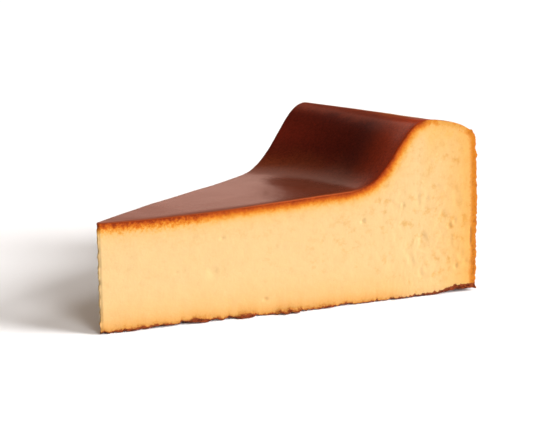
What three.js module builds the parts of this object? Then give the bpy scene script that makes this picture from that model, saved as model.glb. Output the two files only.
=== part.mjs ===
// A slice of burnt basque cheesecake, cut from a round cake and lying flat on its base.
// Millimetres, +Z up. The cake's axis stands in the slice's tip, at x = -CAKE_RADIUS / 2, and the
// slice runs towards +X, so the origin is the middle of its base. The near cut face is on the
// -Y side and the far one on the +Y side. The top is sunk in the middle of the cake, climbs in
// an S to the rim, rounds over a shoulder and comes down the wall.
import * as THREE from "three";
import { mergeVertices } from "three/addons/utils/BufferGeometryUtils.js";

// Driving dimensions of the cake and the cut.
const CAKE_RADIUS = 115;
const PORTIONS = 10;
const TIP_HEIGHT = 30.1;
const TROUGH_HEIGHT = 33.4;
const NEAR_RIM_HEIGHT = 52.9;
const FAR_RIM_HEIGHT = 52.6;
const RIM_DIP = 1.4; // how far the rim sags half way between the two cuts
const TIP_WIDTH = 0.9; // the knife leaves the tip blunt

// The sunken top, as heights above the tip at a third and two thirds of the way to the climb.
const FLAT_RISE = [0.9, 1];

// The climb to the rim on each cut face: its first and last radius, and how far it stays level
// at the bottom and at the top before it turns.
const NEAR_CLIMB = { start: 72, end: 97, levelBelow: 14.5, levelAbove: 10 };
const FAR_CLIMB = { start: 72, end: 104.5, levelBelow: 9.5, levelAbove: 12.5 };

// The shoulder from the rim's crest to the wall, and the wall, which leans in a little.
const WALL_TOP_RADIUS = 113;
const WALL_MIDDLE_RADIUS = 114.9;
const WALL_TOP_HEIGHT = 45.7;
const SHOULDER_LEVEL = 2;
const SHOULDER_DROP = 6.5;
const CORNER_SHARE = 0.8; // of the shoulder, where the top ends and the wall begins

// Relief: craggy crust under the base's edge, which lifts a little towards the rim, rough rind,
// knife marks and pits in the cut.
const CRAG_DEPTH = 0.75;
const CRAG_LENGTH = 4.5;
const CRAG_REACH = 5;
const RIM_LIFT = 0.7;
const RIM_LIFT_START = 98;
const RIND_DEPTH = 0.5;
const RIND_GRAIN = 3.2;
const SKIN_SWELL = 0.18;
const SKIN_GRAIN = 14;
const CUT_ROUGHNESS = 0.16;
const CUT_GRAIN = 6;
const TIP_RAGGEDNESS = 0.55;
const TIP_GRAIN = 3;
const SEED = 23;

// Pits in the cut faces: radius from the axis, height, depth and width.
const NEAR_PITS = [
  { along: 97, height: 20, depth: 0.7, width: 3.2 },
  { along: 105, height: 12, depth: 0.6, width: 2.6 },
  { along: 56, height: 4.5, depth: 0.5, width: 2.4 },
];
const FAR_PITS = [
  { along: 88, height: 24, depth: 0.6, width: 3 },
  { along: 46, height: 11, depth: 0.5, width: 2.6 },
];

// The grid over the block: along the radius, across the slice and up its height.
const STEPS_ALONG = 56;
const STEPS_ACROSS = 14;
const STEPS_UP = 12;

const HALF_ANGLE = Math.PI / PORTIONS;
const { lerp, smoothstep } = THREE.MathUtils;
const point = (radius, height) => new THREE.Vector2(radius, height);

// The outline of a radial section from the top of the tip, over the rim, down to the base.
// share runs from 0 at the near cut to 1 at the far cut.
function outlineAt(share) {
  const start = lerp(NEAR_CLIMB.start, FAR_CLIMB.start, share);
  const end = lerp(NEAR_CLIMB.end, FAR_CLIMB.end, share);
  const below = lerp(NEAR_CLIMB.levelBelow, FAR_CLIMB.levelBelow, share);
  const above = lerp(NEAR_CLIMB.levelAbove, FAR_CLIMB.levelAbove, share);
  const sag = RIM_DIP * Math.sin(Math.PI * share);
  const crest = lerp(NEAR_RIM_HEIGHT, FAR_RIM_HEIGHT, share) - sag;
  const tip = point(0, TIP_HEIGHT);
  const trough = point(start, TROUGH_HEIGHT);
  const rim = point(end, crest);
  const wallTop = point(WALL_TOP_RADIUS, WALL_TOP_HEIGHT);
  const flat = new THREE.CubicBezierCurve(
    tip,
    point(start / 3, TIP_HEIGHT + FLAT_RISE[0]),
    point((2 * start) / 3, TIP_HEIGHT + FLAT_RISE[1]),
    trough,
  );
  const climb = new THREE.CubicBezierCurve(
    trough,
    point(start + below, TROUGH_HEIGHT),
    point(end - above, crest),
    rim,
  );
  const shoulder = new THREE.CubicBezierCurve(
    rim,
    point(end + SHOULDER_LEVEL, crest),
    point(WALL_TOP_RADIUS, WALL_TOP_HEIGHT + SHOULDER_DROP),
    wallTop,
  );
  const wall = new THREE.QuadraticBezierCurve(
    wallTop,
    point(WALL_MIDDLE_RADIUS, WALL_TOP_HEIGHT / 2),
    point(CAKE_RADIUS, 0),
  );
  const outline = new THREE.CurvePath();
  [flat, climb, shoulder, wall].forEach((curve) => outline.add(curve));
  const toCorner =
    flat.getLength() + climb.getLength() + CORNER_SHARE * shoulder.getLength();
  return { outline, corner: toCorner / outline.getLength() };
}

// A point of the section at along (0 at the axis, 1 at the wall) and up (0 at the base, 1 at
// the top): a patch blended between its four edges, which are the top, the base, the tip and
// the wall. The base's points lie below the top's.
function sectionPoint({ outline, corner }, along, up) {
  const topAt = (share) => outline.getPointAt(share * corner);
  const wallAt = (share) => outline.getPointAt(1 - share * (1 - corner));
  const cornerPoint = topAt(1);
  const baseAt = (share) => {
    const stretch = (CAKE_RADIUS / cornerPoint.x) * topAt(share).x;
    return point(lerp(topAt(share).x, stretch, share), 0);
  };
  const top = topAt(along);
  const base = baseAt(along);
  const wall = wallAt(up);
  const tip = point(0, TIP_HEIGHT * up);
  const corners = point(0, 0)
    .addScaledVector(baseAt(1), along * (1 - up))
    .addScaledVector(point(0, TIP_HEIGHT), (1 - along) * up)
    .addScaledVector(cornerPoint, along * up);
  return point(0, 0)
    .addScaledVector(base, 1 - up)
    .addScaledVector(top, up)
    .addScaledVector(tip, 1 - along)
    .addScaledVector(wall, along)
    .sub(corners);
}

// A whole number for each cell of a lattice, spread evenly from -1 to 1.
function latticeValue(i, j, k, seed) {
  let hash = Math.imul(i, 374761393) ^ Math.imul(j, 668265263) ^ Math.imul(k, 2147483647);
  hash = Math.imul(hash ^ Math.imul(seed, 1274126177), 1103515245);
  hash = Math.imul(hash ^ (hash >>> 15), 2246822519);
  hash ^= hash >>> 13;
  return (hash >>> 0) / 2147483648 - 1;
}

// Smooth noise from -1 to 1 with one lattice cell per grain.
function noise(position, grain, seed) {
  const cell = position.clone().divideScalar(grain);
  const corner = cell.clone().floor();
  const [fx, fy, fz] = cell.sub(corner).toArray().map((t) => t * t * (3 - 2 * t));
  const at = (i, j, k) => latticeValue(corner.x + i, corner.y + j, corner.z + k, SEED + seed);
  const row = (j, k) => lerp(at(0, j, k), at(1, j, k), fx);
  const sheet = (k) => lerp(row(0, k), row(1, k), fy);
  return lerp(sheet(0), sheet(1), fz);
}

// How far the crust under the base stands back at a point: only near the base's edges, and
// never below the plane that the slice rests on.
function cragRecess(position, radius, angle) {
  const toCut = radius * Math.sin(HALF_ANGLE - Math.abs(angle));
  const toEdge = Math.min(toCut, CAKE_RADIUS - radius);
  const nearEdge = 1 - smoothstep(toEdge, 0, CRAG_REACH);
  const rough = noise(position, CRAG_LENGTH, 1) + 0.5 * noise(position, CRAG_LENGTH / 2, 2);
  const lift = RIM_LIFT * smoothstep(radius, RIM_LIFT_START, CAKE_RADIUS);
  return nearEdge * (CRAG_DEPTH * Math.max(0, rough) + lift);
}

// How deep a cut face stands back at a radius and a height: pits and the knife's drag.
function cutRecess(position, radius, pits) {
  const drag = CUT_ROUGHNESS * (1 + noise(position, CUT_GRAIN, 3));
  const deepest = pits.map((pit) => {
    const reach = Math.hypot(radius - pit.along, position.z - pit.height) / pit.width;
    return pit.depth * (1 - smoothstep(reach, 0, 1));
  });
  return drag + Math.max(...deepest);
}

// Places a vertex of the unit block on the slice, with its relief.
function placeVertex(block, sections, along, across, up) {
  const index = Math.round(((across + 1) / 2) * STEPS_ACROSS);
  const section = sectionPoint(sections[index], along, up);
  const angle = HALF_ANGLE * across;
  const smooth = new THREE.Vector3(section.x, 0, section.y);
  smooth.applyAxisAngle(new THREE.Vector3(0, 0, 1), angle);
  let radius = section.x;
  let height = section.y;
  let sideways = 0;
  if (along === 1) radius += RIND_DEPTH * (0.5 * noise(smooth, RIND_GRAIN, 4) - 0.1);
  if (along === 0) radius += TIP_RAGGEDNESS * Math.max(0, noise(smooth, TIP_GRAIN, 5));
  if (up === 1) height += SKIN_SWELL * noise(smooth, SKIN_GRAIN, 6);
  if (up === 0) height += cragRecess(smooth, section.x, angle);
  if (across === -1) sideways = cutRecess(smooth, section.x, NEAR_PITS);
  if (across === 1) sideways = -cutRecess(smooth, section.x, FAR_PITS);
  const blunt = (across * TIP_WIDTH * (1 - along)) / 2;
  const fade = smoothstep(along, 0, 0.08);
  block.set(
    radius * Math.cos(angle) - CAKE_RADIUS / 2,
    radius * Math.sin(angle) + blunt + sideways * fade,
    height,
  );
}

function makeSlice() {
  const sections = Array.from({ length: STEPS_ACROSS + 1 }, (_, i) => outlineAt(i / STEPS_ACROSS));
  const box = new THREE.BoxGeometry(1, 2, 1, STEPS_ALONG, STEPS_ACROSS, STEPS_UP);
  const positions = box.getAttribute("position");
  const vertex = new THREE.Vector3();
  for (let i = 0; i < positions.count; i += 1) {
    vertex.fromBufferAttribute(positions, i);
    placeVertex(vertex, sections, vertex.x + 0.5, vertex.y, vertex.z + 0.5);
    positions.setXYZ(i, vertex.x, vertex.y, vertex.z);
  }
  box.deleteAttribute("normal");
  box.deleteAttribute("uv");
  const geometry = mergeVertices(box);
  geometry.computeVertexNormals();
  return geometry;
}

const cream = new THREE.MeshStandardMaterial({ color: 0xf8cf92, roughness: 0.6, metalness: 0 });
const slice = new THREE.Mesh(makeSlice(), cream);
slice.name = "cheesecake_slice";

const group = new THREE.Group();
group.add(slice);
export default group;
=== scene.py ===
"""A cut slice of burnt basque cheesecake: its mesh, its finishes, the light and the camera.

Everything is in metres, +Z up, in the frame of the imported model. The origin is the middle of the
slice's base, the tip points to -X, and the near cut face is on the -Y side.
"""
import logging
import math
from dataclasses import dataclass, field
from enum import Enum
from typing import Callable

import bmesh
import bpy
import numpy as np
from mathutils import Euler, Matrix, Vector, noise


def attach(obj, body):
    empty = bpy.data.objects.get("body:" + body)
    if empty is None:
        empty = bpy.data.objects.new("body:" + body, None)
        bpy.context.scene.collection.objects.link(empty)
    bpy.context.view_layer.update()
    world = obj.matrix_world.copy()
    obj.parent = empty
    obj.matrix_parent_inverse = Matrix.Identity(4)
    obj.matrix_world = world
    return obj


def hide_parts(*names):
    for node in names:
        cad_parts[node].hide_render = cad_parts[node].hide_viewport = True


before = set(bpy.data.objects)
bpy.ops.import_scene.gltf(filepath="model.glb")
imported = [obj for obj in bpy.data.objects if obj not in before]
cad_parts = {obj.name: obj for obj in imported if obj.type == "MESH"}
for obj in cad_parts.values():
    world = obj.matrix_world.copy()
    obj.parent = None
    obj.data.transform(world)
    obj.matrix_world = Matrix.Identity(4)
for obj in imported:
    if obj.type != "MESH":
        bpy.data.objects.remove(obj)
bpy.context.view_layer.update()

NODE = "cheesecake_slice"
BODY = "root"
MM = 0.001
# The whole cake's radius in millimetres, which is the slice's length too.
CAKE_RADIUS = 115.0

log = logging.getLogger("cheesecake")


# ------------------------------------------------
# Shader graph


def joining(operation: str, flipped: bool = False) -> Callable:
    """Makes a method that joins a signal and another operand by one node.

    It is a Math node, or a Vector Math node for a colour, beside which a plain number stands for
    three of itself.

    Args:
        operation: the node's operation.
        flipped: whether the other operand comes first.

    Returns:
        The method.
    """
    def joined(self: "Signal", other: object) -> "Signal":
        """Joins self and another operand.

        Args:
            other: a signal or a number.

        Returns:
            The result as a signal.
        """
        kind, operands = "ShaderNodeMath", [other, self] if flipped else [self, other]
        if self.socket.type != "VALUE":
            kind = "ShaderNodeVectorMath"
            operands = [(v,) * 3 if isinstance(v, (int, float)) else v for v in operands]
        return self.graph.node(kind, {"operation": operation}, dict(enumerate(operands)))

    return joined


class Signal:
    """A socket in a shader that takes part in Python arithmetic."""

    __add__, __radd__ = joining("ADD"), joining("ADD", flipped=True)
    __sub__, __rsub__ = joining("SUBTRACT"), joining("SUBTRACT", flipped=True)
    __mul__, __rmul__ = joining("MULTIPLY"), joining("MULTIPLY", flipped=True)
    __truediv__ = joining("DIVIDE")
    capped = joining("MINIMUM")

    def __init__(self, graph: "Graph", socket: bpy.types.NodeSocket) -> None:
        """Keeps the socket and the graph that it belongs to."""
        self.graph = graph
        self.socket = socket


class Graph:
    """The node tree of one material."""

    def __init__(self, name: str) -> None:
        """Makes a material with only a Principled shader and an output.

        Args:
            name: the material's name.
        """
        self.material = bpy.data.materials.new(name)
        self.material.use_nodes = True
        self.tree = self.material.node_tree
        self.tree.nodes.clear()
        self.shader = self.tree.nodes.new("ShaderNodeBsdfPrincipled")
        output = self.tree.nodes.new("ShaderNodeOutputMaterial")
        self.tree.links.new(self.shader.outputs["BSDF"], output.inputs["Surface"])

    def feed(self, socket: bpy.types.NodeSocket, value: object) -> None:
        """Links a signal to an input socket, or sets the socket.

        Args:
            socket: the input socket.
            value: a signal, a number, a vector or a colour.
        """
        if isinstance(value, Signal):
            self.tree.links.new(value.socket, socket)
        elif isinstance(value, (tuple, list)) and len(value) == 3 and socket.type == "RGBA":
            socket.default_value = (*value, 1.0)
        else:
            socket.default_value = value

    def node(self, kind: str, settings: dict, inputs: dict, output: object = 0) -> Signal:
        """Adds a node, sets it up and then feeds its sockets.

        Args:
            kind: the node's type.
            settings: values for the node's own properties, set first.
            inputs: values or signals by socket name or index.
            output: the name or the index of the output that is wanted.

        Returns:
            That output as a signal.
        """
        made = self.tree.nodes.new(kind)
        for key, value in settings.items():
            setattr(made, key, value)
        for key, value in inputs.items():
            self.feed(made.inputs[key], value)
        return Signal(self, made.outputs[output])

    def place(self) -> Signal:
        """Object coordinates, in metres."""
        return self.node("ShaderNodeTexCoord", {}, {}, "Object")

    def axis(self, place: Signal, name: str) -> Signal:
        """One component of a place, named X, Y or Z."""
        return self.node("ShaderNodeSeparateXYZ", {}, {0: place}, name)

    def height(self, place: Signal) -> Signal:
        """How high a place is above the base, in millimetres."""
        return self.axis(place, "Z") * (1 / MM)

    def reach(self, place: Signal) -> Signal:
        """How far along the slice a place is from the cake's axis, in millimetres."""
        return self.axis(place, "X") * (1 / MM) + CAKE_RADIUS / 2

    def attribute(self, name: str) -> Signal:
        """A float attribute of the mesh."""
        return self.node("ShaderNodeAttribute", {"attribute_name": name}, {}, "Fac")

    def stretched(self, place: Signal, scale: tuple) -> Signal:
        """A place scaled along each axis, so that a pattern on it is drawn out."""
        return self.node("ShaderNodeMapping", {}, {"Vector": place, "Scale": scale})

    def clouds(self, place: Signal, size: float, detail: float, rough: float) -> Signal:
        """Fractal noise from 0 to 1.

        Args:
            place: where it is read.
            size: the size of its largest features, in millimetres.
            detail: how many finer layers it has.
            rough: how strong the finer layers are.

        Returns:
            The noise as a signal.
        """
        inputs = {"Vector": place, "Scale": 1 / (size * MM), "Detail": detail, "Roughness": rough}
        return self.node("ShaderNodeTexNoise", {}, inputs, "Fac")

    def ease(self, value: Signal, low: object, high: object) -> Signal:
        """A smooth step, which falls instead of rising where low is above high.

        Args:
            value: what is read.
            low: the value at which the step is 0.
            high: the value at which it is 1.

        Returns:
            The step as a signal.
        """
        inputs = {"Value": value, "From Min": low, "From Max": high}
        return self.node("ShaderNodeMapRange", {"interpolation_type": "SMOOTHSTEP"}, inputs)

    def mix(self, share: object, first: object, second: object, way: str = "MIX") -> Signal:
        """A blend of two colours.

        Args:
            share: how much of the second colour there is, from 0 to 1.
            first: the colour at share 0.
            second: the colour at share 1.
            way: how the second colour is laid over the first.

        Returns:
            The blend as a signal.
        """
        settings = {"data_type": "RGBA", "blend_type": way}
        return self.node("ShaderNodeMix", settings, {"Factor": share, 6: first, 7: second}, 2)

    def darkest(self, first: Signal, second: Signal) -> Signal:
        """The darker of two colours, channel by channel."""
        return self.mix(1.0, first, second, "DARKEN")

    def along(self, distance: Signal, stops: tuple) -> Signal:
        """A colour read from a ramp by a distance.

        Args:
            distance: the distance from where the ramp starts.
            stops: the ramp's (distance, red, green, blue), with screen values, in order.

        Returns:
            The colour as a signal.
        """
        longest = stops[-1][0]
        made = self.node("ShaderNodeValToRGB", {}, {0: distance / longest})
        elements = made.socket.node.color_ramp.elements
        while len(elements) < len(stops):
            elements.new(1.0)
        for element, (at, *colour) in zip(elements, stops):
            element.position = at / longest
            element.color = (*srgb(*colour), 1.0)
        return made

    def bump(self, height: Signal, depth: float) -> Signal:
        """A normal from a height between 0 and 1 that stands for depth millimetres."""
        inputs = {"Strength": 1.0, "Distance": depth * MM, "Height": height}
        return self.node("ShaderNodeBump", {}, inputs)

    def finish(self, **inputs: object) -> bpy.types.Material:
        """Feeds the Principled shader's sockets, named with spaces as underscores.

        Args:
            inputs: values or signals by socket name.

        Returns:
            The material.
        """
        for key, value in inputs.items():
            self.feed(self.shader.inputs[key.replace("_", " ")], value)
        return self.material


def srgb(*channels: int) -> tuple:
    """Turns a colour's 8-bit screen values into the linear values that shaders use.

    Args:
        channels: its red, green and blue, from 0 to 255.

    Returns:
        The three linear values.
    """
    def linear(value: float) -> float:
        """One channel, from a screen value between 0 and 1."""
        return value / 12.92 if value <= 0.04045 else ((value + 0.055) / 1.055) ** 2.4

    return tuple(linear(channel / 255) for channel in channels)


# ------------------------------------------------
# Finishes


class Region(Enum):
    """The slice's surfaces, whose values are their places in the mesh's list of materials."""

    SKIN = 0
    CUT = 1
    RIND = 2
    BASE = 3


@dataclass(frozen=True)
class BurntSkin:
    """The glossy skin that the top burnt to, darkest on the climb, with painted light making it
    redder by the near cut.

    Sizes, depths and widths are in millimetres, here and in the other finishes. The climb is 0 at
    the foot of the slope to the rim and 1 at its crest, and each of its tones says from where and
    until where it comes in.
    """

    middle: tuple = srgb(98, 40, 17)
    tones: tuple = (
        (0.2, 0.5, srgb(74, 19, 9)),
        # The crest's tone is lighter than the climb's, partly the skin's own colour and partly a
        # painted sheen.
        (0.79, 0.94, srgb(101, 37, 21)),
        (0.95, 1.15, srgb(130, 56, 28)),
    )
    shoulder: tuple = srgb(173, 111, 50)
    # Painted light: the colour where light would come through the skin by the near cut.
    glow: tuple = srgb(178, 60, 22)
    # Painted highlight along the skin's edge by the cut.
    painted_edge_highlight: tuple = srgb(178, 84, 44)
    mottle_size: float = 9
    freckle_size: float = 1.1
    speck_size: float = 0.7
    pebble_depth: float = 0.04
    dull_edge: float = 4.5

    def material(self) -> bpy.types.Material:
        """Makes the skin's material.

        Returns:
            The material.
        """
        graph = Graph("burnt_skin")
        place = graph.place()
        reach = graph.reach(place)
        climb = graph.attribute("climb")
        near = graph.attribute("near_mm")
        mottle = graph.clouds(place, self.mottle_size, 4, 0.6)
        freckle = graph.clouds(place, self.freckle_size, 3, 0.6)
        speck = graph.clouds(place, self.speck_size, 3, 0.7)
        wander = climb + (mottle - 0.5) * 0.3
        colour = self.middle
        for start, end, tone in self.tones:
            colour = graph.mix(graph.ease(wander, start, end), colour, tone)
        flecked = graph.ease(wander + (freckle - 0.5) * 0.3, 1.1, 1.35)
        colour = graph.mix(flecked, colour, self.shoulder)
        # Painted light: towards the near cut the climb's skin is painted redder and lighter, as if
        # light came through it, further in the higher it is.
        painted_through_light = graph.ease(near, climb * 20 + 10, 0.0) * graph.ease(climb, -0.2, 0.9)
        colour = graph.mix(painted_through_light * graph.ease(climb, 1.25, 0.98), colour, self.glow)
        # Painted highlight: the skin's edge along the cut is painted lighter, least of all beside
        # the tip.
        painted_edge_highlight = graph.ease(near + (freckle - 0.5) * 1.2, 1.9, 0.1) * graph.ease(climb, 0.35, -0.1)
        colour = graph.mix(painted_edge_highlight * (0.25 + 0.55 * graph.ease(reach, 25, 60)), colour, self.painted_edge_highlight)
        # Painted light: far from the near cut the skin is painted brighter about halfway up the
        # climb, as if lit from behind.
        halfway = graph.ease(climb, 0.38, 0.58) * graph.ease(climb, 0.8, 0.58)
        painted_backlight = graph.ease(near, 32, 52) * halfway
        speckled = (speck - 0.5) * (0.15 + 1.6 * graph.ease(climb, 0.0, 0.3))
        colour = colour * (0.76 + 0.3 * mottle + 0.18 * freckle + speckled + 0.45 * painted_backlight)
        # The gloss stops short of the near cut, closer to it where the slice is narrow.
        dull = (0.6 + 0.12 * reach).capped(self.dull_edge)
        glossy = 1.0 - 0.78 * graph.ease(climb, 0.11, 0.41)
        return graph.finish(
            Base_Color=colour,
            Roughness=0.42 + 0.16 * mottle,
            Specular_IOR_Level=0.06,
            Coat_Weight=glossy * graph.ease(near, 0.0, dull),
            Coat_Roughness=0.2,
            Coat_IOR=1.5,
            Normal=graph.bump(freckle * 0.6 + speck * 0.4, self.pebble_depth),
        )


@dataclass(frozen=True)
class BakedCream:
    """The cut through the cream, toasted under the skin, along the rind and over the base.

    Each toasting is a ramp of (distance, red, green, blue), read inwards from an edge. The colours
    are as they look in the strong light of the photograph, and shade is the cream's own share of
    them.
    """

    under_skin: tuple = (
        (0.0, 150, 54, 20), (0.7, 195, 86, 26), (1.3, 226, 119, 33),
        (1.8, 240, 152, 52), (2.4, 250, 182, 89), (3.0, 252, 199, 120),
        (4.0, 252, 206, 139), (6.0, 252, 209, 146), (10.0, 252, 212, 151),
    )
    under_rind: tuple = (
        (0.0, 226, 140, 48), (1.0, 232, 142, 44), (1.6, 240, 162, 74),
        (2.2, 252, 188, 104), (3.2, 252, 192, 108), (6.0, 252, 198, 122),
        (12.0, 252, 206, 140), (20.0, 252, 212, 151),
    )
    under_rim: tuple = (
        (0.0, 238, 172, 94), (1.0, 242, 176, 86), (1.7, 250, 192, 112),
        (3.0, 252, 200, 122), (12.0, 252, 206, 138), (20.0, 252, 212, 151),
    )
    over_crust: tuple = (
        (0.0, 196, 122, 58), (0.3, 224, 154, 76), (0.7, 236, 173, 94),
        (1.2, 242, 182, 106), (2.2, 248, 192, 119), (3.6, 251, 200, 131),
        (8.0, 252, 208, 144), (12.0, 252, 211, 149),
    )
    cream: tuple = srgb(252, 211, 149)
    # Painted shade for the dents between the curds.
    dent_shade: tuple = (0.86, 0.71, 0.42)
    stain: tuple = srgb(176, 92, 34)
    crust: tuple = srgb(156, 74, 38)
    crumb: tuple = srgb(92, 34, 16)
    crack: tuple = srgb(132, 70, 38)
    shade: float = 0.5
    smear_size: float = 3.2
    smear_stretch: tuple = (1, 1, 0.45)
    grain_size: float = 0.8
    curd_size: float = 2.6
    cluster_size: float = 10
    fleck_size: float = 0.7
    relief_depth: float = 0.16

    def material(self) -> bpy.types.Material:
        """Makes the cream's material.

        Returns:
            The material.
        """
        graph = Graph("baked_cream")
        place = graph.place()
        drawn = graph.stretched(place, self.smear_stretch)
        smear = graph.clouds(drawn, self.smear_size, 4, 0.6)
        grain = graph.clouds(place, self.grain_size, 3, 0.65)
        curds = graph.clouds(place, self.curd_size, 4, 0.62)
        colour = self.toasted(graph, smear, grain, curds)
        # The cream is curdled towards the rim, with painted shade darkening the dents between the
        # curds.
        curdled = graph.ease(graph.reach(place), 27.5, 102.5)
        cluster = graph.ease(graph.clouds(place, self.cluster_size, 1, 0.5), 0.42, 0.6)
        painted_dent_shade = graph.ease(curds, 0.52, 0.3) * (0.12 + curdled * (0.15 + 0.45 * cluster))
        colour = colour * graph.mix(painted_dent_shade, (1.0, 1.0, 1.0), self.dent_shade)
        colour = colour * (0.94 + 0.12 * graph.clouds(place, self.fleck_size, 1, 0.5))
        # Beside the rind it is stained in spots, and dark where the rind has come away.
        beside = graph.ease(graph.attribute("rind_mm"), 1.8, 1.0)
        spotted = beside * graph.ease(grain * 0.5 + curds * 0.5, 0.5, 0.6)
        colour = graph.mix(spotted * 0.55, colour, self.stain)
        cracked = graph.attribute("crack") * graph.ease(grain, 0.4, 0.5)
        colour = graph.mix(cracked * 0.6, colour, self.crack)
        # The base crust is seen on the cut, and the cream is browned over it, less by the rim.
        over = graph.height(place) - graph.attribute("crust_mm") + (grain - 0.5) * 1.8
        warmth = 1 - 0.7 * graph.ease(graph.attribute("climb"), 0.4, 1.0)
        warmed = graph.mix(warmth, self.cream, graph.along(over, self.over_crust))
        crumbly = graph.mix(graph.ease(grain, 0.42, 0.6), self.crust, self.crumb)
        colour = graph.mix(graph.ease(over, 0.1, -0.1), graph.darkest(colour, warmed), crumbly)
        colour = colour * (self.shade * (0.95 + 0.06 * smear + 0.1 * curds))
        return graph.finish(
            Base_Color=colour,
            Roughness=0.55 + 0.15 * smear,
            Specular_IOR_Level=0.1,
            Subsurface_Weight=0.1,
            Subsurface_Radius=(1.0, 0.5, 0.2),
            Subsurface_Scale=1.5 * MM,
            Normal=graph.bump(grain * 0.4 + smear * 0.2 + curds * 0.4, self.relief_depth),
        )

    def toasted(self, graph: Graph, smear: Signal, grain: Signal, curds: Signal) -> Signal:
        """The cream's colour with its toasting under the skin and along the rind.

        Args:
            graph: the cream's node tree.
            smear: the pattern that the knife drew.
            grain: the finest pattern.
            curds: the pattern of the curds.

        Returns:
            The colour.
        """
        toast = graph.attribute("toast_mm")
        rind = graph.attribute("rind_mm")
        # Beside the tip the toasting is darker and more ragged.
        tipward = graph.ease(graph.reach(graph.place()), 37.5, 19.5)
        ragged = (grain - 0.5) * (1.6 + 2.4 * tipward) + (smear - 0.5) * 0.8 - 0.15 * tipward
        # Beyond the crest the top is only browned as lightly as the wall.
        beyond = graph.ease(graph.attribute("climb") + ragged * 0.05, 0.9, 1.08)
        browned = graph.along(rind + ragged * 0.9, self.under_rind)
        inner = graph.darkest(graph.along(toast + ragged, self.under_skin), browned)
        stained = graph.along(toast + ragged, self.under_rind)
        lightly = graph.along(toast + ragged, self.under_rim)
        rim = graph.mix(graph.ease(curds, 0.48, 0.62), lightly, stained)
        return graph.mix(beyond, inner, graph.darkest(rim, browned))


@dataclass(frozen=True)
class RimRind:
    """The browned rind on the cake's outer wall."""

    golden: tuple = srgb(178, 108, 42)
    brown: tuple = srgb(150, 76, 25)
    dark: tuple = srgb(94, 41, 16)
    patch_size: float = 7
    grain_size: float = 1.2
    relief_depth: float = 0.18

    def material(self) -> bpy.types.Material:
        """Makes the rind's material.

        Returns:
            The material.
        """
        graph = Graph("rim_rind")
        place = graph.place()
        patch = graph.clouds(place, self.patch_size, 4, 0.6)
        grain = graph.clouds(place, self.grain_size, 3, 0.65)
        colour = graph.mix(graph.ease(patch, 0.4, 0.65), self.golden, self.brown)
        colour = graph.mix(graph.ease(grain * 0.6 + patch * 0.4, 0.56, 0.68), colour, self.dark)
        # It is dark all along its foot.
        foot = graph.ease(graph.height(place) + (patch - 0.5) * 4, 3.0, 0.5)
        colour = graph.mix(foot, colour, self.dark)
        return graph.finish(
            Base_Color=colour,
            Roughness=0.5 + 0.2 * grain,
            Specular_IOR_Level=0.15,
            Subsurface_Weight=0.1,
            Subsurface_Radius=(1.0, 0.4, 0.15),
            Subsurface_Scale=1.5 * MM,
            Normal=graph.bump(grain, self.relief_depth),
        )


@dataclass(frozen=True)
class BaseCrust:
    """The dark, craggy crust under the cake."""

    brown: tuple = srgb(118, 58, 30)
    dark: tuple = srgb(66, 28, 15)
    patch_size: float = 6
    grain_size: float = 1.0
    relief_depth: float = 0.2

    def material(self) -> bpy.types.Material:
        """Makes the base crust's material.

        Returns:
            The material.
        """
        graph = Graph("base_crust")
        place = graph.place()
        patch = graph.clouds(place, self.patch_size, 4, 0.65)
        grain = graph.clouds(place, self.grain_size, 3, 0.65)
        darkened = graph.ease(patch * 0.6 + grain * 0.4, 0.4, 0.62)
        return graph.finish(
            Base_Color=graph.mix(darkened, self.brown, self.dark),
            Roughness=0.6 + 0.2 * grain,
            Specular_IOR_Level=0.3,
            Normal=graph.bump(grain, self.relief_depth),
        )


# ------------------------------------------------
# The slice


@dataclass(frozen=True)
class Profile:
    """The top's line on one cut face, in points of (radius, height).

    It runs from the tip, drawn by two bends, to the foot of the climb, and then in an S to the
    crest. The S first goes on as the flat ended, and is level at the crest.
    """

    tip: tuple
    bends: tuple
    foot: tuple
    crest: tuple
    level_below: float
    level_above: float

    def towards(self, other: "Profile", share: float) -> "Profile":
        """The profile between this one and another.

        Args:
            other: the other cut face's profile.
            share: how far it is towards the other, from 0 to 1.

        Returns:
            The profile there.
        """
        return Profile(*(
            np.array(mine) * (1 - share) + np.array(theirs) * share
            for mine, theirs in zip(vars(self).values(), vars(other).values())
        ))


@dataclass(frozen=True)
class Pit:
    """A dent in a cut face or a chip in the base, at a radius from the axis and a height."""

    along: float
    height: float
    depth: float
    width: float


@dataclass(frozen=True)
class CrustPatch:
    """A thicker stretch of the base crust along a cut edge, from one radius to another.

    Its ledge is how far it stands out of the cut.
    """

    start: float
    end: float
    thickness: float
    ledge: float

    def cover(self, along: np.ndarray) -> np.ndarray:
        """How fully the patch is there at radii: 1 over most of it, rounded off at its ends."""
        middle, half = (self.start + self.end) / 2, (self.end - self.start) / 2
        return np.clip(1 - ((along - middle) / half) ** 4, 0, 1)


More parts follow.
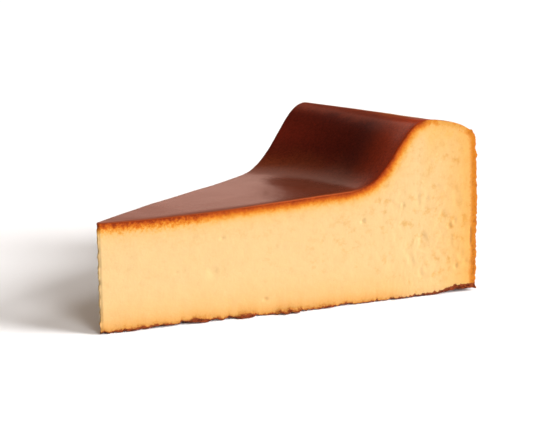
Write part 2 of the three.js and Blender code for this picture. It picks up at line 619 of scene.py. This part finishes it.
@dataclass
class CakeSlice:
    """The whole slice as one closed mesh, swept round the cake's axis and laid on its outline.

    Sizes are in millimetres here, as a baker would measure them, and the mesh is in metres.
    """

    cake_radius: float = CAKE_RADIUS
    portions: int = 10
    near: Profile = Profile(
        (0, 30.1), ((23.6, 29.6), (50.6, 32.0)), (73, 33.3), (97, 52.9), 14.5, 9.6
    )
    far: Profile = Profile(
        (0, 30.1), ((23.8, 32.0), (49.7, 31.8)), (67.5, 33.1), (103.5, 52.7), 17, 11.5
    )
    softening: float = 0.045
    rim_dip: float = 1.6
    tip_width: float = 0.6
    wall_top_radius: float = 113.4
    wall_middle_radius: float = 115.2
    wall_top_height: float = 45.7
    shoulder_level: float = 2.0
    shoulder_drop: float = 6.5
    corner_share: float = 0.8
    steps_along: int = 240
    steps_across: int = 72
    steps_up: int = 96
    crowding: float = 0.5
    wall_crowding: float = 0.2
    hub: float = 0.02
    finishes: dict = field(default_factory=lambda: {
        Region.SKIN: BurntSkin(),
        Region.CUT: BakedCream(),
        Region.RIND: RimRind(),
        Region.BASE: BaseCrust(),
    })

    @property
    def half_angle(self) -> float:
        """Half of the wedge's angle, in radians."""
        return math.pi / self.portions

    def outline(self, share: float) -> tuple:
        """The section's outline from the tip's top over the rim and down the wall.

        Args:
            share: 0 at the near cut face, 1 at the far one.

        Returns:
            The points as (radius, height) rows, and the index of the corner below the shoulder,
            where the top ends and the wall begins.
        """
        line = self.near.towards(self.far, share)
        # The rim sags between the cuts, deepest on the near side of the middle.
        crest = line.crest - (0, self.rim_dip * math.sin(math.pi * share**0.8))
        wall = (self.wall_top_radius, self.wall_top_height)
        flat = bezier(line.tip, *line.bends, line.foot)
        lead = (line.foot - line.bends[1]) / (line.foot[0] - line.bends[1][0])
        leaving, arriving = line.foot + lead * line.level_below, crest - (line.level_above, 0)
        rise = bezier(line.foot, leaving, arriving, crest)
        inner = softened(np.vstack([flat, rise]), self.softening)
        over = (self.wall_top_radius, self.wall_top_height + self.shoulder_drop)
        shoulder = bezier(crest, crest + (self.shoulder_level, 0), over, wall)
        middle = (self.wall_middle_radius, self.wall_top_height / 2)
        foot = (self.cake_radius, 0)
        thirds = [tuple(p + (q - p) * 2 / 3 for p, q in zip(end, middle)) for end in (wall, foot)]
        side = bezier(wall, *thirds, foot)
        lengths = running_length(shoulder)
        corner = len(inner) + int(np.searchsorted(lengths, self.corner_share * lengths[-1]))
        return np.vstack([inner, shoulder, side]), corner

    def section(self, share: float, along: np.ndarray, up: np.ndarray) -> tuple:
        """Places points of the unit section on the real one, as a patch between its four edges.

        Args:
            share: which section, 0 at the near cut face and 1 at the far one.
            along: 0 at the cake's axis, 1 at the wall.
            up: 0 at the base, 1 at the top.

        Returns:
            Radius and height of each point, its distance from the top's outline and from the
            wall's, and how far along the climb it lies, all but the last in millimetres.
        """
        points, corner = self.outline(share)
        top, wall = points[: corner + 1], points[corner:][::-1]
        top_at = along_line(top, along)
        wall_at = along_line(wall, up)
        base_at = np.zeros_like(top_at)
        base_at[:, 0] = top_at[:, 0] * (1 + along * (self.cake_radius / top[-1, 0] - 1))
        u, w = along[:, None], up[:, None]
        corners = u * (1 - w) * np.array([self.cake_radius, 0.0]) + u * w * top[-1]
        corners = corners + (1 - u) * w * top[0]
        spot = (1 - w) * base_at + w * top_at + (1 - u) * w * top[0] + u * wall_at - corners
        line = self.near.towards(self.far, share)
        climbed = (spot[:, 0] - line.foot[0]) / (line.crest[0] - line.foot[0])
        return spot, nearest(spot, top), nearest(spot, wall), climbed

    def unit_block(self) -> bpy.types.Mesh:
        """Sweeps a grid round the cake's axis into a closed block of unit radius and height.

        Returns:
            The block's mesh.
        """
        mesh = bpy.data.meshes.new("basque_cheesecake_slice")
        block = bmesh.new()
        steps = {"x_segments": self.steps_along, "y_segments": self.steps_up}
        bmesh.ops.create_grid(block, **steps, size=0.5)
        for vert in block.verts:
            radius = self.hub + (vert.co.x + 0.5) * (1 - self.hub)
            vert.co = Vector((radius, 0, vert.co.y + 0.5))
        turn = Euler((0, 0, -self.half_angle)).to_matrix()
        bmesh.ops.rotate(block, verts=block.verts, cent=(0, 0, 0), matrix=turn)
        grid = block.verts[:] + block.edges[:] + block.faces[:]
        sweep = {"angle": 2 * self.half_angle, "steps": self.steps_across, "use_merge": False}
        bmesh.ops.spin(block, geom=grid, cent=(0, 0, 0), axis=(0, 0, 1), **sweep)
        bmesh.ops.recalc_face_normals(block, faces=block.faces)
        block.to_mesh(mesh)
        block.free()
        return mesh

    def survey(self, mesh: bpy.types.Mesh) -> "Survey":
        """Works out where each vertex of the unit block belongs on the slice.

        Args:
            mesh: the unit block's mesh.

        Returns:
            The places, and what is known of them.
        """
        unit = read_rows(mesh.vertices, "co")
        radius = np.hypot(unit[:, 0], unit[:, 1])
        even_along = np.clip((radius - self.hub) / (1 - self.hub), 0, 1)
        angle = np.arctan2(unit[:, 1], unit[:, 0])
        step = np.rint((angle / self.half_angle + 1) / 2 * self.steps_across).astype(int)
        even_up = np.clip(unit[:, 2], 0, 1)
        # The grid is finest beside the cuts, the base, the top and the wall.
        along = (1 + self.wall_crowding) * even_along - self.wall_crowding * even_along**2
        up = crowded(even_up, self.crowding)
        share = crowded(step / self.steps_across, self.crowding)
        spot = np.zeros((len(unit), 2))
        toast, rind, climb = (np.zeros(len(unit)) for _ in range(3))
        for i in range(self.steps_across + 1):
            here = step == i
            placed = self.section(share[here][0], along[here], up[here])
            spot[here], toast[here], rind[here], climb[here] = placed
        tiny = 1e-6
        sides = {
            "near": step == 0,
            "far": step == self.steps_across,
            "top": even_up > 1 - tiny,
            "base": even_up < tiny,
            "wall": even_along > 1 - tiny,
            "tip": even_along < tiny,
        }
        turned = self.half_angle * (2 * share - 1)
        blunt = (2 * share - 1) * self.tip_width * (1 - along) / 2
        points = np.stack([
            spot[:, 0] * np.cos(turned) - self.cake_radius / 2,
            spot[:, 0] * np.sin(turned) + blunt,
            spot[:, 1],
        ], axis=1)
        edge = spot[:, 0] * np.sin(self.half_angle - np.abs(turned))
        near = spot[:, 0] * np.sin(self.half_angle + turned)
        return Survey(points, spot, turned, sides, toast, rind, climb, edge, near)

    def build(self) -> bpy.types.Object:
        """Builds the slice and dresses it.

        Returns:
            The slice's object.
        """
        mesh = self.unit_block()
        survey = self.survey(mesh)
        write_points(mesh, survey.points * MM)
        relief = Relief()
        normals = read_rows(mesh.vertex_normals, "vector")
        write_points(mesh, relief.displace(survey, normals) * MM)
        values = {
            "toast_mm": survey.toast,
            "rind_mm": survey.rind,
            "climb": survey.climb,
            "near_mm": survey.near,
            "crust_mm": relief.crust_thickness(survey) + relief.base_lift(survey),
            "crack": relief.crack(survey),
        }
        for name, value in values.items():
            layer = mesh.attributes.new(name, "FLOAT", "POINT")
            layer.data.foreach_set("value", value.astype(np.float32))
        self.dress(mesh, survey.sides)
        return add_object("basque_cheesecake_slice", mesh)

    def dress(self, mesh: bpy.types.Mesh, sides: dict) -> None:
        """Gives each face the finish of the surface that it lies on.

        Args:
            mesh: the slice's mesh.
            sides: for each side by name, which vertices lie on it.
        """
        for region in Region:
            mesh.materials.append(self.finishes[region].material())
        corners = np.zeros(len(mesh.polygons) * 4, int)
        mesh.polygons.foreach_get("vertices", corners)
        corners = corners.reshape(-1, 4)
        index = np.full(len(mesh.polygons), Region.CUT.value)
        for name, region in (("top", Region.SKIN), ("wall", Region.RIND), ("base", Region.BASE)):
            index[sides[name][corners].all(axis=1)] = region.value
        mesh.polygons.foreach_set("material_index", index)
        mesh.polygons.foreach_set("use_smooth", np.ones(len(mesh.polygons), bool))
        mesh.update()


@dataclass
class Survey:
    """What is known of each vertex of the slice's smooth form, in millimetres and radians.

    A spot is a radius and a height within a section, and turned is the section's angle. Toast and
    rind are the distances from the top's outline and the wall's, and climb is how far up the slope
    to the rim it lies. Edge is the distance from the closer cut and near that from the near one.
    """

    points: np.ndarray
    spot: np.ndarray
    turned: np.ndarray
    sides: dict
    toast: np.ndarray
    rind: np.ndarray
    climb: np.ndarray
    edge: np.ndarray
    near: np.ndarray


@dataclass
class Relief:
    """What stands out of or into the slice's smooth form, in millimetres.

    Each grain is a surface's noise, in layers of (size, strength).
    """

    rounding: float = 0.2
    knife_drag: float = 0.06
    knife_grain: tuple = ((5, 1.0), (1.6, 0.6))
    curd: float = 0.2
    curd_size: float = 2.1
    curd_crumb: float = 0.9
    skin_grain: tuple = ((11, 0.12), (2.3, 0.015))
    tip_wear: float = 0.3
    tip_stand: float = 0.33
    tip_grain: tuple = ((2.0, 1.0), (0.8, 0.6))
    rind_stand: float = 0.5
    rind_bumps: float = 0.4
    rind_grain: tuple = ((1.9, 0.6), (0.85, 1.0))
    rind_thickness: float = 1.6
    crack_depth: float = 0.3
    crack_width: float = 0.28
    crack_span: tuple = (9, 30)
    crust_thin: float = 0.32
    crust_most: float = 3
    crust_fade: float = 0.5
    crust_bumps: float = 0.4
    crumb_size: float = 0.9
    chip_depth: float = 0.85
    chip_grain: tuple = ((2.6, 0.5), (1.1, 1.0))
    chip_reach: float = 4
    lift_height: float = 2.5
    under_rim: float = 98
    rim_lift: float = 0.85
    rim_lift_reach: tuple = (101.0, 109.0)
    patches: tuple = tuple(CrustPatch(*row) for row in (
        (4, 14, 0.45, 0.4), (14.5, 16.7, 0.35, 0.3), (17.2, 19.2, 0.35, 0.3),
        (24.5, 31.2, 0.95, 0.5), (31, 35.5, 0.2, 0.2), (38, 44.2, 0.85, 1.2),
        (46, 64, 0, 0.9), (49.5, 58, 0.25, 1.1), (62.5, 69, 0.35, 0.8),
        (76, 81, 0.12, 0.1), (86.5, 95, 0.3, 0.3), (95, 118, 0.6, 0.1),
        (101, 124, 0.45, 0.1), (107, 130, 0.3, 0),
    ))
    chips: tuple = tuple(Pit(*row) for row in (
        (14.5, 0, 0.25, 1.4), (16.7, 0, 0.45, 1.4), (18.8, 0, 0.4, 1.5),
        (21.2, 0, 0.3, 1.4), (23.6, 0, 0.45, 1.6), (26, 0, 0.4, 2.2),
        (32, 0, 0.5, 1.8), (36.8, 0, 0.4, 1.6),
    ))
    pits: tuple = tuple(Pit(*row) for row in (
        (96.5, 18.2, 0.4, 2.0), (97.5, 17.6, 0.25, 1.0), (77.0, 24.6, 0.6, 0.9),
        (108.5, 8.3, 0.6, 1.0), (105.9, 21.1, 0.5, 0.9), (107.5, 22.3, 0.4, 0.9),
        (89.9, 28.3, 0.4, 0.8), (46.9, 4.7, 0.5, 0.8), (34.4, 23.3, 0.5, 0.7),
        (21.2, 14.8, 0.4, 0.6), (31.7, 14.0, 0.3, 2.2),
    ))

    def displace(self, survey: Survey, normals: np.ndarray) -> np.ndarray:
        """Moves the smooth form's points along their normals, and at the base up or aside.

        Args:
            survey: the smooth form's points.
            normals: their normals.

        Returns:
            The moved points.
        """
        points, sides, height = survey.points, survey.sides, survey.spot[:, 1]
        cuts = sides["near"] | sides["far"]
        shared = sum(side.astype(int) for side in sides.values())
        out = np.where(shared > 1, -self.rounding, 0.0)
        for i in np.flatnonzero(cuts):
            out[i] -= self.cut_depth(Vector(points[i]), survey.spot[i], bool(sides["near"][i]))
        out -= self.crack(survey) * self.crack_depth * cuts
        stands = {"wall": self.rind_out, "top": self.skin_out, "tip": self.tip_out}
        for side, stand in stands.items():
            for i in np.flatnonzero(sides[side]):
                out[i] += stand(Vector(points[i]))
        moved = points + normals * out[:, None]
        moved[:, 2] += self.base_lift(survey) * np.clip(1 - height / self.lift_height, 0, 1)
        crust, ledge = self.crust_thickness(survey), self.crust_ledge(survey)
        for i in np.flatnonzero(height < self.crust_most):
            in_crust = smooth((crust[i] + 0.35 - height[i]) / self.crust_fade)
            bumps = self.crust_bumps * noise.noise(Vector(points[i]) / self.crumb_size) - 0.05
            moved[i, :2] += normals[i, :2] * in_crust * (ledge[i] + bumps)
        return moved

    def rind_out(self, at: Vector) -> float:
        """How far out the wall's rind stands at a point."""
        return self.rind_stand + self.rind_bumps * ripples(at, self.rind_grain)

    def skin_out(self, at: Vector) -> float:
        """How far out the top's skin stands at a point."""
        return ripples(at, self.skin_grain)

    def tip_out(self, at: Vector) -> float:
        """How far out the tip stands at a point, mostly below 0 because it is worn back."""
        return -(self.tip_stand + self.tip_wear * ripples(at, self.tip_grain))

    def cut_depth(self, at: Vector, spot: np.ndarray, near: bool) -> float:
        """How deep a cut face stands back: the knife's drag, the curd and the pits.

        Args:
            at: a point of the cut face.
            spot: its radius and height.
            near: whether it lies on the near cut face, which alone has the pits.

        Returns:
            The depth.
        """
        radius, height = spot
        depth = self.knife_drag * ripples(at, self.knife_grain)
        upright = Vector((at.x, at.y, at.z * 0.7))
        # The curd is roughest towards the rim, in patches, clear of the crust and of the skin.
        rough = smooth((radius - 78) / 20) * smooth((40 - height) / 14)
        rough *= smooth((height - 2) / 5)
        patchy = smooth((noise.noise(at / 7) + 0.25) / 0.5)
        lumps = max(0.0, noise.noise(upright / self.curd_size)) * 1.5
        crumbs = 0.7 * noise.noise(upright / self.curd_crumb)
        depth += (0.15 + 0.85 * rough * patchy) * self.curd * (lumps + crumbs)
        if near:
            for pit in self.pits:
                reach = math.hypot(radius - pit.along, height - pit.height) / pit.width
                depth += pit.depth * max(0.0, 1 - reach * reach) ** 2
        return depth

    def crack(self, survey: Survey) -> np.ndarray:
        """Where the rind has come away from the cream on the cut faces.

        Args:
            survey: the smooth form's points.

        Returns:
            How much it has at each point, from 0 to 1.
        """
        groove = np.exp(-(((survey.rind - self.rind_thickness) / self.crack_width) ** 2))
        height = survey.spot[:, 1]
        opened = np.clip(np.sin(height * 0.42 + 0.8) + 0.3 * np.sin(height * 1.7), 0, 1)
        low, high = self.crack_span
        reach = np.clip((height - low) / 3, 0, 1) * np.clip((high - height) / 3, 0, 1)
        return groove * opened * reach

    def over_patches(self, survey: Survey, value: str) -> np.ndarray:
        """A value of the crust's patches at each point.

        On the far cut they follow each other the other way round, except under the rim.

        Args:
            survey: the smooth form's points.
            value: which of the patches' values is wanted.

        Returns:
            The value at each point.
        """
        along, end = survey.spot[:, 0], self.under_rim
        along = np.where((survey.turned > 0) & (along < end), end - along, along)
        return sum(getattr(patch, value) * patch.cover(along) for patch in self.patches)

    def crust_thickness(self, survey: Survey) -> np.ndarray:
        """How thick the base crust is at each point, as seen on the cut faces."""
        return self.crust_thin + self.over_patches(survey, "thickness")

    def crust_ledge(self, survey: Survey) -> np.ndarray:
        """How far the base crust stands out of the cuts at each point."""
        return self.over_patches(survey, "ledge")

    def base_lift(self, survey: Survey) -> np.ndarray:
        """How far the base's edge is chipped up from the plane that it rests on.

        Args:
            survey: the smooth form's points.

        Returns:
            The lift under each point, less the further it is from the edge.
        """
        lift = np.zeros(len(survey.points))
        crust = self.crust_thickness(survey)
        edge = np.minimum(survey.edge, CAKE_RADIUS - survey.spot[:, 0])
        start, end = self.rim_lift_reach
        for i in np.flatnonzero((survey.spot[:, 1] < 6) & (edge < self.chip_reach)):
            along = survey.spot[i, 0]
            rough = ripples(Vector((*survey.points[i, :2], 0)), self.chip_grain)
            lift[i] = self.chip_depth * max(0.0, 0.3 - 0.5 * crust[i] + rough)
            for chip in self.chips:
                lift[i] += chip.depth * max(0.0, 1 - ((along - chip.along) / chip.width) ** 2)
            lift[i] += self.rim_lift * smooth((along - start) / (end - start))
            lift[i] *= 1 - edge[i] / self.chip_reach
        return lift


def ripples(at: Vector, layers: tuple) -> float:
    """Noise at a point, summed over layers of (size, strength)."""
    return sum(strength * noise.noise(at / size) for size, strength in layers)


def smooth(value: float) -> float:
    """A smooth step from 0 at 0 to 1 at 1."""
    held = min(1.0, max(0.0, value))
    return held * held * (3 - 2 * held)


def crowded(share: np.ndarray, amount: float) -> np.ndarray:
    """Even shares from 0 to 1, moved towards both ends by an amount from 0 to 1."""
    return (1 - amount) * share + amount * (1 - np.cos(math.pi * share)) / 2


def bezier(start: tuple, first: tuple, second: tuple, end: tuple, steps: int = 120) -> np.ndarray:
    """Draws a cubic curve.

    Args:
        start: the point where it starts.
        first: the point that it starts towards.
        second: the point that it comes from at the end.
        end: the point where it ends.
        steps: how many points are wanted.

    Returns:
        The points along it, one row for each.
    """
    t =np.linspace(0, 1, steps)[:, None]
    p, q, r, s = (np.array(v, float) for v in (start, first, second, end))
    return (1 - t) ** 3 * p + 3 * (1 - t) ** 2 * t * q + 3 * (1 - t) * t**2 * r + t**3 * s


def softened(line: np.ndarray, share: float, steps: int = 400) -> np.ndarray:
    """A line whose bends are eased out, with its ends kept.

    Args:
        line: its points.
        share: how much of its length on either side of a point has a say in it.
        steps: how many steps the new line has.

    Returns:
        The new line's points, evenly spaced.
    """
    half = round(share * steps)
    window = np.hanning(2 * half + 3)[1:-1]
    even = along_line(line, np.linspace(0, 1, steps + 1))
    held = np.pad(even, ((half, half), (0, 0)), mode="reflect", reflect_type="odd")
    columns = [np.convolve(held[:, k], window / window.sum(), mode="valid") for k in (0, 1)]
    return np.stack(columns, axis=1)


def running_length(line: np.ndarray) -> np.ndarray:
    """The length along a line up to each of its points."""
    return np.concatenate([[0.0], np.cumsum(np.hypot(*np.diff(line, axis=0).T))])


def along_line(line: np.ndarray, share: np.ndarray) -> np.ndarray:
    """Finds points along a line.

    Args:
        line: its points.
        share: the shares of its length at which points are wanted.

    Returns:
        The points, one row for each share.
    """
    length = running_length(line)
    keep = np.concatenate([[True], np.diff(length) > 1e-9])
    length, line = length[keep], line[keep]
    wanted = share * length[-1]
    return np.stack([np.interp(wanted, length, line[:, k]) for k in (0, 1)], axis=1)


def nearest(points: np.ndarray, line: np.ndarray) -> np.ndarray:
    """Each point's distance to the nearest point of a line."""
    gaps = points[:, None, :] - line[None, :, :]
    return np.sqrt((gaps**2).sum(axis=2).min(axis=1))


def read_rows(items: object, name: str) -> np.ndarray:
    """Reads one vector from each item of a mesh's collection.

    Args:
        items: the collection, such as the mesh's vertices.
        name: the vector's name.

    Returns:
        The vectors, one row for each item.
    """
    flat = np.zeros(len(items) * 3)
    items.foreach_get(name, flat)
    return flat.reshape(-1, 3)


def write_points(mesh: bpy.types.Mesh, points: np.ndarray) -> None:
    """Moves a mesh's vertices."""
    mesh.vertices.foreach_set("co", points.ravel())
    mesh.update()


def add_object(name: str, data: object) -> bpy.types.Object:
    """Adds an object to the scene.

    Args:
        name: its name.
        data: its mesh, light or camera.

    Returns:
        The object.
    """
    made = bpy.data.objects.new(name, data)
    bpy.context.scene.collection.objects.link(made)
    return made


# ------------------------------------------------
# The studio


@dataclass(frozen=True)
class Sun:
    """A distant soft light.

    The azimuth is in degrees from behind the camera, positive to its left. The height above the
    horizon and the spread in the sky are in degrees too.
    """

    name: str
    strength: float
    azimuth: float
    height: float
    spread: float
    colour: tuple = (1.0, 1.0, 1.0)


@dataclass(frozen=True)
class Card:
    """A warm glowing card that stands behind the slice, to be reflected in its skin.

    The azimuth is in degrees from straight behind the slice, positive to the camera's right, and
    the sizes are in metres.
    """

    name: str
    azimuth: float
    width: float
    bottom: float
    top: float
    glow: float
    colour: tuple = (1.0, 0.6, 0.49)


@dataclass
class Studio:
    """A white floor, soft lights from the right and the front, and warm cards behind."""

    camera_place: tuple = (-191.4 * MM, -233.8 * MM, 88.3 * MM)
    camera_turn: float = 39.716
    camera_tilt: float = 12.17
    focal_length: float = 68.73
    sensor_width: float = 36.0
    floor_size: float = 60.0
    floor_drop: float = 0.1 * MM
    floor_colour: tuple = (0.94, 0.94, 0.955)
    suns: tuple = (
        Sun("side_light", 4.3, -76, 24, 26),
        Sun("front_light", 1.9, -34, 22, 24),
        Sun("high_light", 0.8, -82, 47, 18),
        Sun("fill_light", 0.82, 5, 65, 70, (1.0, 0.86, 0.7)),
    )
    cards: tuple = (
        Card("low_card", -16.4, 0.66, 0.22, 0.61, 1.14),
        Card("high_card", -16.4, 0.66, 0.61, 1.24, 0.5),
    )
    card_distance: float = 1.2
    sky_strength: float = 0.02

    def build(self) -> None:
        """Builds the floor, the lights and the camera."""
        self.floor()
        for sun in self.suns:
            self.hang(sun)
        for card in self.cards:
            self.stand(card)
        self.sky()
        self.camera()
        bpy.context.scene.view_settings.view_transform = "Standard"

    def outwards(self, azimuth: float, height: float) -> Vector:
        """The direction from the slice to a light.

        Args:
            azimuth: its azimuth in degrees, as a sun's.
            height: its height above the horizon in degrees.

        Returns:
            The direction, of length 1.
        """
        turn, tilt = math.radians(self.camera_turn + azimuth), math.radians(height)
        level = math.cos(tilt)
        return Vector((-math.sin(turn) * level, -math.cos(turn) * level, math.sin(tilt)))

    def floor(self) -> None:
        """A plain white floor, just under the slice."""
        graph = Graph("studio_floor")
        material = graph.finish(
            Base_Color=self.floor_colour,
            Roughness=0.8,
            Specular_IOR_Level=0.1,
        )
        mesh = bpy.data.meshes.new("studio_floor")
        plane = bmesh.new()
        bmesh.ops.create_grid(plane, x_segments=1, y_segments=1, size=self.floor_size)
        bmesh.ops.translate(plane, verts=plane.verts, vec=(0, 0, -self.floor_drop))
        plane.to_mesh(mesh)
        plane.free()
        mesh.materials.append(material)
        floor = add_object("studio_floor", mesh)

    def hang(self, sun: Sun) -> None:
        """Hangs a distant light.

        Args:
            sun: the light.
        """
        data = bpy.data.lights.new(sun.name, "SUN")
        data.energy = sun.strength
        data.angle = math.radians(sun.spread)
        data.color = sun.colour
        light = add_object(sun.name, data)
        towards = self.outwards(sun.azimuth, sun.height)
        light.rotation_euler = towards.to_track_quat("Z", "Y").to_euler()
        # The sun itself isn't mirrored, so that the glossy skin doesn't glare from behind.
        light.visible_glossy = False

    def stand(self, card: Card) -> None:
        """Stands a glowing card behind the slice, out of the camera's sight.

        Args:
            card: the card.
        """
        data = bpy.data.lights.new(card.name, "AREA")
        data.shape = "RECTANGLE"
        data.size, data.size_y = card.width, card.top - card.bottom
        data.energy = card.glow * math.pi * data.size * data.size_y
        data.color = card.colour
        light = add_object(card.name, data)
        towards = self.outwards(180 + card.azimuth, 0)
        light.location = towards * self.card_distance + Vector((0, 0, (card.bottom + card.top) / 2))
        light.rotation_euler = towards.to_track_quat("Z", "Y").to_euler()
        light.visible_camera = False

    def sky(self) -> None:
        """A surround that is white to the camera but gives only a little light."""
        world = bpy.data.worlds.new("studio_sky")
        world.use_nodes = True
        tree = world.node_tree
        sky = tree.nodes["Background"]
        seen = tree.nodes.new("ShaderNodeLightPath").outputs["Is Camera Ray"]
        level = tree.nodes.new("ShaderNodeMath")
        level.operation = "MULTIPLY_ADD"
        level.inputs[1].default_value = 1.0 - self.sky_strength
        level.inputs[2].default_value = self.sky_strength
        tree.links.new(seen, level.inputs[0])
        tree.links.new(level.outputs[0], sky.inputs["Strength"])
        sky.inputs["Color"].default_value = (1, 1, 1, 1)
        bpy.context.scene.world = world

    def camera(self) -> None:
        """The camera, at the photograph's viewing angle."""
        data = bpy.data.cameras.new("camera")
        data.lens = self.focal_length
        data.sensor_width = self.sensor_width
        data.clip_start = 10 * MM
        camera = add_object("camera", data)
        camera.location = self.camera_place
        turn, tilt = -math.radians(self.camera_turn), math.radians(90 - self.camera_tilt)
        camera.rotation_euler = Euler((tilt, 0, turn))
        bpy.context.scene.camera = camera


def main() -> None:
    """Builds the slice and its studio, and logs the slice's number of faces."""
    logging.basicConfig(level=logging.INFO, format="%(message)s")
    piece = CakeSlice().build()
    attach(piece, BODY)
    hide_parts(NODE)
    log.info("%s: %d faces", piece.name, len(piece.data.polygons))
    Studio().build()
    bpy.context.view_layer.update()


if __name__ == "__main__":
    main()
